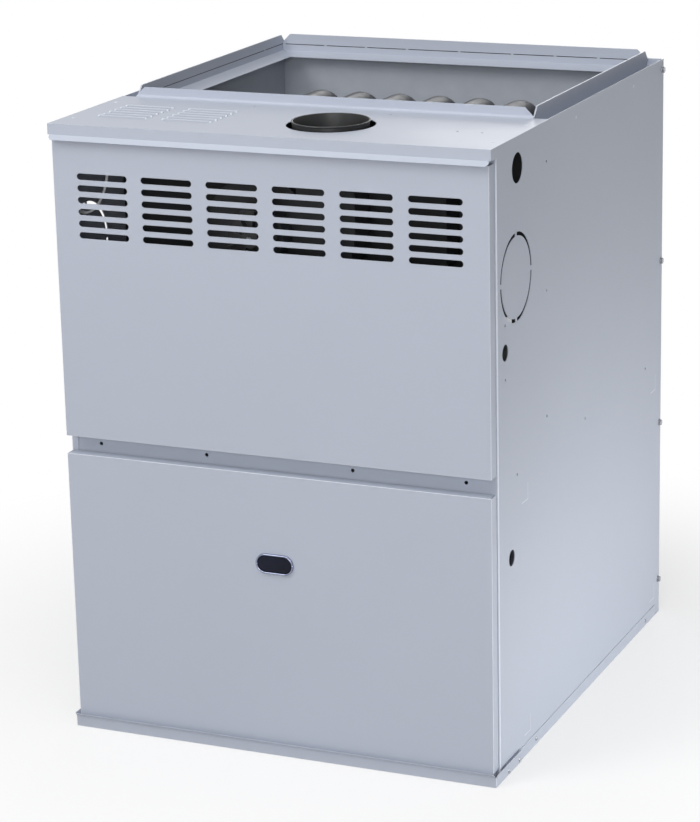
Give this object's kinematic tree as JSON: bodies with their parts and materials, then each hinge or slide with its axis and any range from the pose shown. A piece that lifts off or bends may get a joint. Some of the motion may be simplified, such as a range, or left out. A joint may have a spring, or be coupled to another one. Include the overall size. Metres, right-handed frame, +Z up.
{
  "type": "forced air gas furnace",
  "caption": "Upflow forced air gas furnace: painted steel casing with two lift-off doors, open supply flange on top, flue collar, tubular heat exchanger, burners, inducer and blower.",
  "frame": {"origin": "on the floor, under the middle of the whole furnace's outline", "axes": "+X to the right seen from the doors, +Y from the doors to the back, +Z up"},
  "size_m": [0.6308, 0.726, 0.8695],
  "materials": {
    "casing_paint": "smooth satin light blue-grey powder coat on thin folded sheet",
    "galvanised_sheet": "dull zinc coated sheet",
    "liner_facing": "grey-faced glass fibre insulation board",
    "exchanger_steel": "near-black aluminised tube, smooth",
    "black_coating": "satin black",
    "zinc_fastener": "zinc plated",
    "cast_grey": "die cast, as cast",
    "brass_fitting": "turned brass",
    "white_ceramic": "unglazed ceramic",
    "black_plastic": "moulded black plastic",
    "white_plastic": "moulded white plastic",
    "red_plastic": "moulded red plastic",
    "white_silicone": "soft white silicone tube",
    "board_laminate": "green circuit board with black parts",
    "sight_lens": "dark polished glass",
    "bright_rim": "bright pressed rim"
  },
  "bodies": {
    "casing": {"left_side_panel": "casing_paint", "right_side_panel": "casing_paint", "back_panel": "casing_paint", "top_pan": "casing_paint", "base_front_rail": "casing_paint", "base_left_rail": "casing_paint", "base_right_rail": "casing_paint", "duct_flange_left": "casing_paint", "duct_flange_right": "casing_paint", "duct_flange_back": "casing_paint", "middle_rail": "casing_paint", "vestibule_panel": "galvanised_sheet", "blower_deck": "galvanised_sheet", "insulation_left": "liner_facing", "insulation_right": "liner_facing", "insulation_back": "liner_facing", "casing_screws": "zinc_fastener", "base_rivets": "zinc_fastener", "exchanger_tube_1": "exchanger_steel", "exchanger_tube_2": "exchanger_steel", "exchanger_tube_3": "exchanger_steel", "exchanger_tube_4": "exchanger_steel", "exchanger_tube_5": "exchanger_steel", "exchanger_tube_6": "exchanger_steel", "collector_box": "galvanised_sheet", "inducer_housing": "galvanised_sheet", "inducer_motor": "cast_grey", "flue_collar": "black_coating", "burner_assembly": "galvanised_sheet", "burner_bracket": "galvanised_sheet", "gas_manifold": "black_coating", "gas_orifices": "brass_fitting", "gas_valve": "cast_grey", "igniter": "white_ceramic", "flame_sensor": "white_ceramic", "rollout_switch": "black_plastic", "limit_switch": "black_plastic", "pressure_switch": "black_plastic", "pressure_hose": "white_silicone", "junction_box": "galvanised_sheet", "blower_housing": "galvanised_sheet", "blower_motor": "black_coating", "motor_mount": "galvanised_sheet", "capacitor": "zinc_fastener", "control_panel": "galvanised_sheet", "control_board": "board_laminate", "transformer": "black_coating", "door_switch": "black_plastic"},
    "upper_door_panel": {"upper_door": "casing_paint"},
    "lower_door_panel": {"lower_door": "casing_paint", "sight_glass_rim": "bright_rim", "sight_glass_lens": "sight_lens"},
    "blower_rotor": {"blower_wheel": "galvanised_sheet", "blower_shaft": "zinc_fastener"},
    "inducer_rotor": {"inducer_wheel": "galvanised_sheet", "inducer_shaft": "zinc_fastener", "inducer_cooling_fan": "black_plastic"},
    "valve_knob": {"gas_valve_knob": "black_plastic"},
    "reset_button": {"rollout_reset_button": "red_plastic"},
    "switch_plunger": {"door_switch_plunger": "white_plastic"}
  },
  "joints": [
    {"name": "upper_door_pull", "type": "slide", "parent": "casing", "child": "upper_door_panel", "axis": [0, -1, 0], "range_m": [0, 0.3]},
    {"name": "lower_door_lift", "type": "slide", "parent": "casing", "child": "lower_door_panel", "axis": [0, -0.6402, 0.7682], "range_m": [0, 0.25]},
    {"name": "blower_spin", "type": "hinge", "parent": "casing", "child": "blower_rotor", "pos_m": [0, -0.025, 0.2], "axis": [1, 0, 0], "continuous": true},
    {"name": "inducer_spin", "type": "hinge", "parent": "casing", "child": "inducer_rotor", "pos_m": [-0.032, -0.256, 0.712], "axis": [0, 1, 0], "continuous": true},
    {"name": "gas_knob_turn", "type": "hinge", "parent": "casing", "child": "valve_knob", "pos_m": [-0.259, -0.325, 0.543], "axis": [0, -1, 0], "range_deg": [0, 90]},
    {"name": "reset_button_pop", "type": "slide", "parent": "casing", "child": "reset_button", "axis": [0, -1, 0], "range_m": [0, 0.002]},
    {"name": "door_switch_travel", "type": "slide", "parent": "casing", "child": "switch_plunger", "axis": [0, -1, 0], "range_m": [0, 0.005]}
  ],
  "couplings": [
    {"joint": "door_switch_travel", "follows": "lower_door_lift", "ratio": 0.02}
  ]
}
